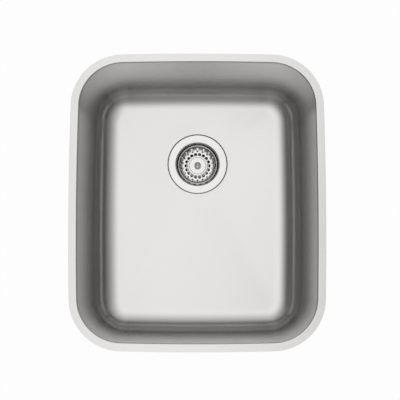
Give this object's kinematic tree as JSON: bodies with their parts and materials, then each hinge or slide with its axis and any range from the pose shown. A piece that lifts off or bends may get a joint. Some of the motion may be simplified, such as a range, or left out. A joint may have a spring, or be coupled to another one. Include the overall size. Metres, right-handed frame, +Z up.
{
  "type": "undermount kitchen sink",
  "caption": "Undermount kitchen sink: deep drawn stainless bowl with a flat rim, a lift-out basket strainer set to the rear and a straight tailpiece.",
  "frame": {"origin": "middle of the rim's flat top face, the face that is bonded to the underside of the worktop", "axes": "+Z up out of the bowl, +Y to the back where the drain is, +X to the right"},
  "size_m": [0.451, 0.5248, 0.3729],
  "materials": {
    "satin_steel": "fine satin",
    "bright_steel": "polished",
    "plain_steel": "bare",
    "chrome": "mirror plated",
    "cast_zinc": "dull die-cast",
    "black_rubber": "matt",
    "pad_rubber": "matt",
    "fibre": "plain",
    "white_plastic": "plain"
  },
  "bodies": {
    "sink": {"bowl": "satin_steel", "right_wall_pad": "pad_rubber", "back_wall_pad": "pad_rubber", "left_wall_pad": "pad_rubber", "front_wall_pad": "pad_rubber", "floor_pad": "pad_rubber", "flange_seal": "white_plastic", "strainer_body": "bright_steel", "floor_gasket": "black_rubber", "friction_ring": "fibre", "locknut": "cast_zinc", "outlet_spider": "plain_steel", "tailpiece_washer": "white_plastic", "tailpiece": "chrome", "coupling_nut": "chrome"},
    "post_ring": {"snap_ring": "black_rubber"},
    "basket": {"basket_cup": "bright_steel", "basket_cap": "bright_steel", "basket_knob": "bright_steel", "basket_post": "plain_steel", "post_spacer": "plain_steel", "stopper_plate": "plain_steel", "stopper_seal": "black_rubber", "stopper_washer": "plain_steel", "post_nut": "plain_steel"}
  },
  "joints": [
    {"name": "basket_lift", "type": "slide", "parent": "sink", "child": "post_ring", "axis": [0, 0, 1], "range_m": [0, 0.275]},
    {"name": "basket_turn", "type": "hinge", "parent": "post_ring", "child": "basket", "pos_m": [0, 0.091, -0.256], "axis": [0, 0, 1], "continuous": true}
  ]
}
